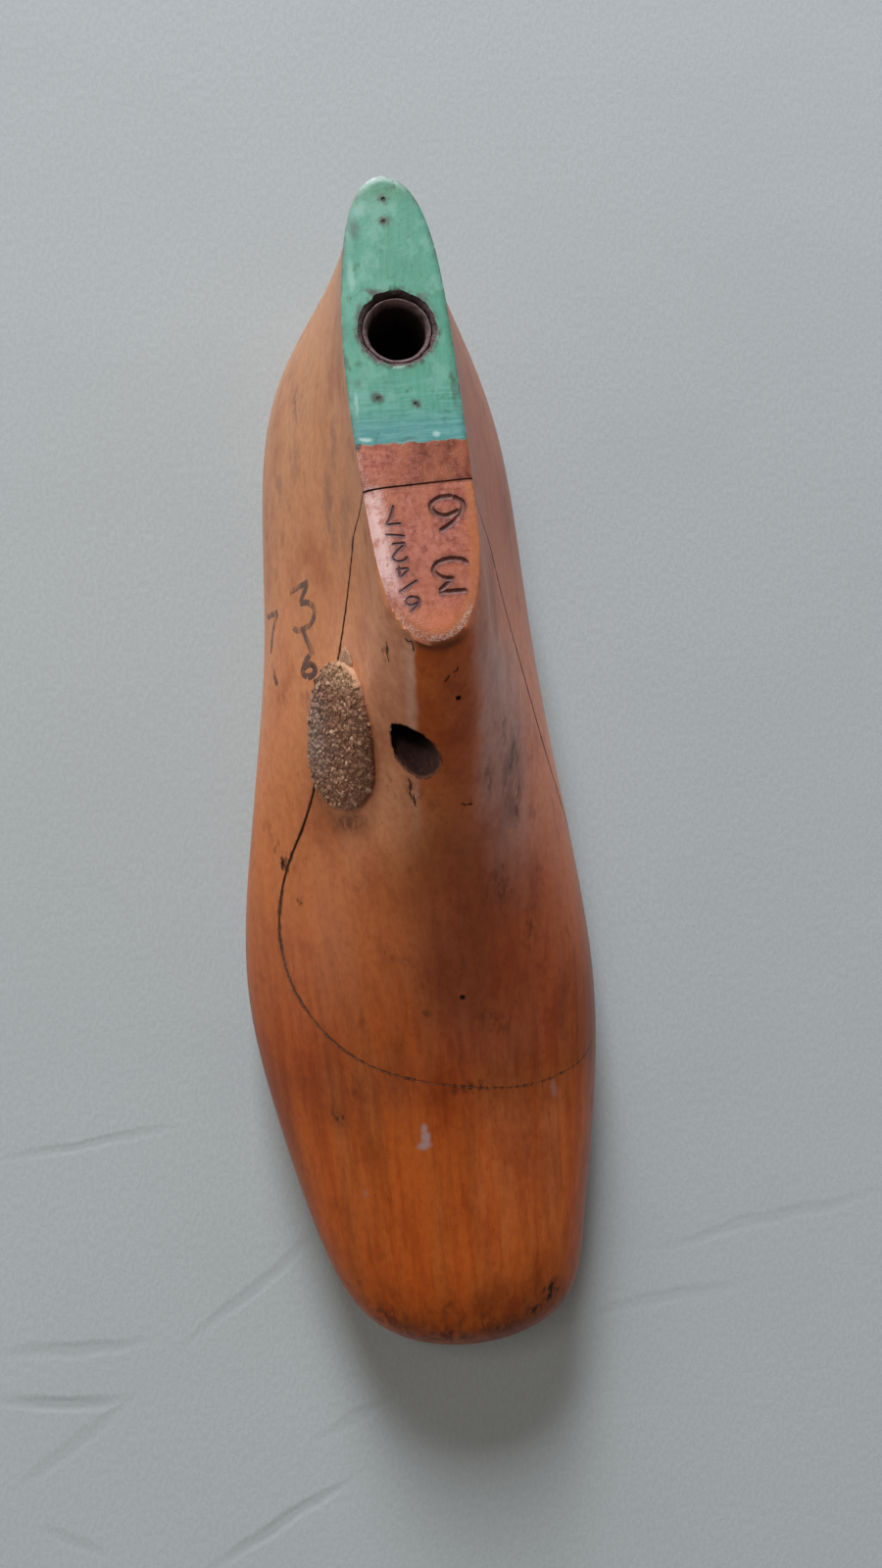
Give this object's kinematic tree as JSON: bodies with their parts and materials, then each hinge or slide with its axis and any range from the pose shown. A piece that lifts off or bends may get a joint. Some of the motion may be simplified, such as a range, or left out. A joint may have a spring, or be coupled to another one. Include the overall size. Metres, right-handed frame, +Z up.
{
  "type": "cobbler last",
  "caption": "Varnished wooden scoop-block shoe last for a right foot, with a lift-off instep block, a lined jack hole in the painted comb, a hook hole and a cork fitting patch.",
  "frame": {"origin": "centre of the last's box, on the floor that the heel seat and the tread stand on", "axes": "+Z up, +Y towards the heel, toe towards -Y, +X towards the inner (medial) side of a right foot"},
  "size_m": [0.0802, 0.243, 0.08],
  "materials": {
    "varnished_wood": "old amber varnish, worn at the edges, comb part painted mint green",
    "block_wood": "old amber varnish, comb part stained red-brown",
    "liner_steel": "tarnished",
    "pin_steel": "plain turned",
    "brad_steel": "rusted dark",
    "cork": "granular, matt"
  },
  "bodies": {
    "last": {"last_body": "varnished_wood", "jack_hole_thimble": "liner_steel", "block_pin": "pin_steel"},
    "block": {"scoop_block": "block_wood", "cork_patch": "cork", "ridge_brad_upper": "brad_steel", "ridge_brad_lower": "brad_steel"}
  },
  "joints": [
    {"name": "block_lift", "type": "slide", "parent": "last", "child": "block", "axis": [0, -0.2588, 0.9659], "range_m": [0, 0.08]}
  ]
}
